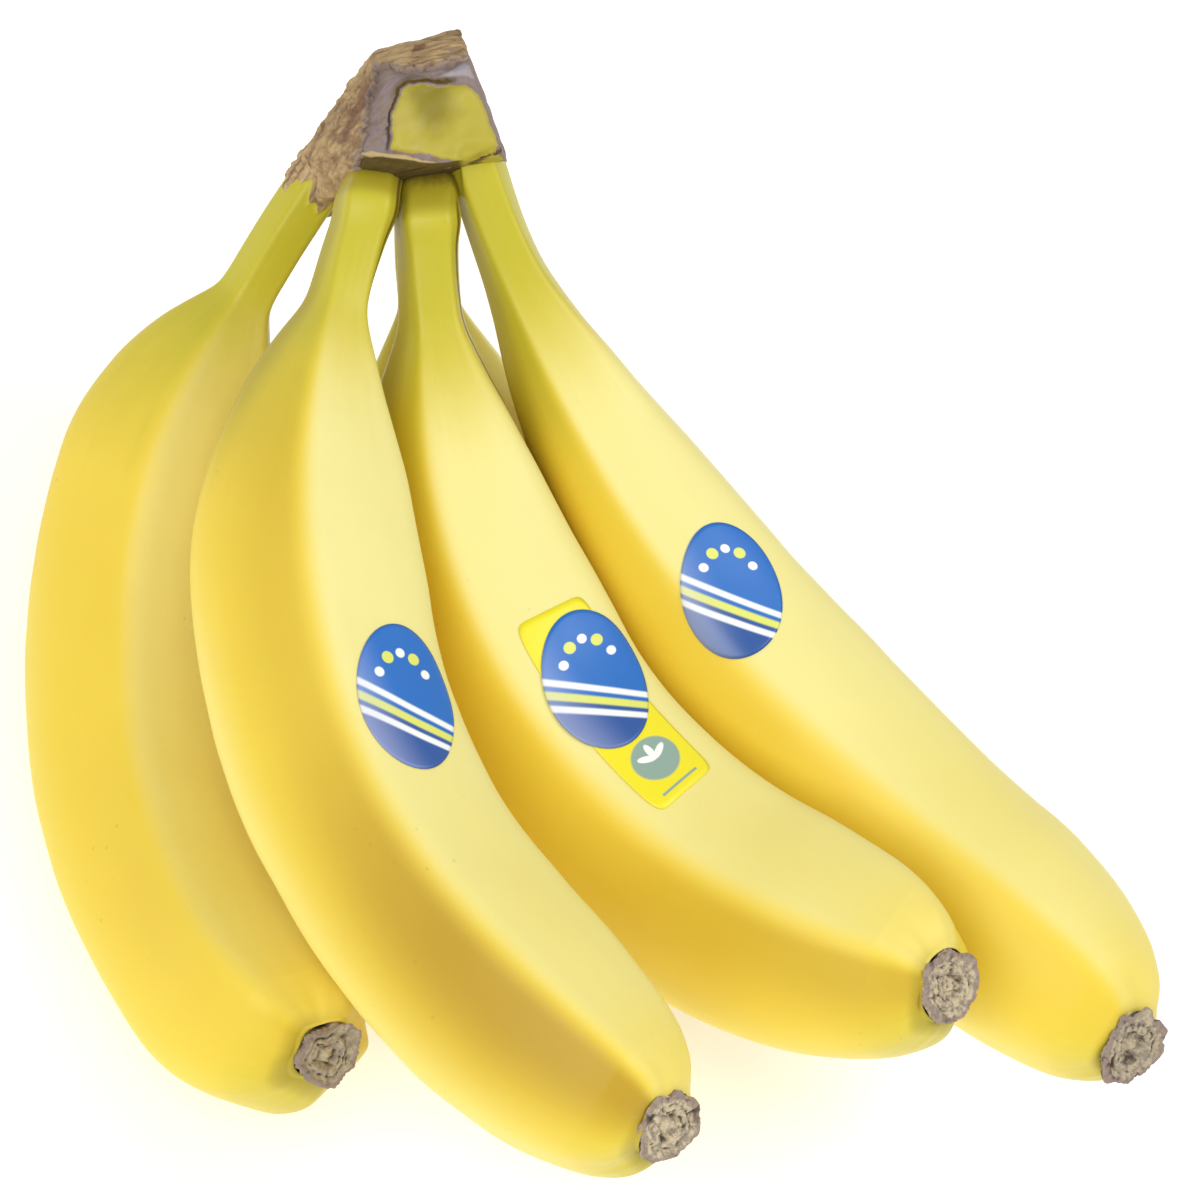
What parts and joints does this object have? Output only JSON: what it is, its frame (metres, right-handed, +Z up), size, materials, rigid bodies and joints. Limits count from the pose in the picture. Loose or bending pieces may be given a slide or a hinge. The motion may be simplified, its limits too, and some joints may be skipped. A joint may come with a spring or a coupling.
{
  "type": "banana bunch",
  "caption": "Bunch of ripe bananas joined at one cut crown, with dried blossom ends and plain oval stickers, lying on its side.",
  "frame": {"origin": "on the floor, under the middle of the bounding box of the bunch", "axes": "+Z up; the crown is to -X and the fingers point to +X and forwards to -Y; the faces seen in the picture look to -Y and +Z"},
  "size_m": [0.2228, 0.1666, 0.1137],
  "materials": {
    "green_crown": "smooth green-yellow skin",
    "dried_cut": "dry, fibrous, matt",
    "skin": "smooth ripe yellow skin, soft sheen",
    "dried_tip": "dry, wrinkled, matt",
    "sticker_blue": "printed, satin",
    "sticker_yellow": "printed, satin"
  },
  "bodies": {
    "root": {"crown": "green_crown", "crown_cut": "dried_cut", "finger_1": "skin", "finger_2": "skin", "finger_3": "skin", "finger_4": "skin", "finger_5": "skin", "finger_1_tip": "dried_tip", "finger_2_tip": "dried_tip", "finger_3_tip": "dried_tip", "finger_4_tip": "dried_tip", "finger_5_tip": "dried_tip", "label_1": "sticker_blue", "label_2_strip": "sticker_yellow", "label_2": "sticker_blue", "label_3": "sticker_blue"}
  },
  "joints": []
}
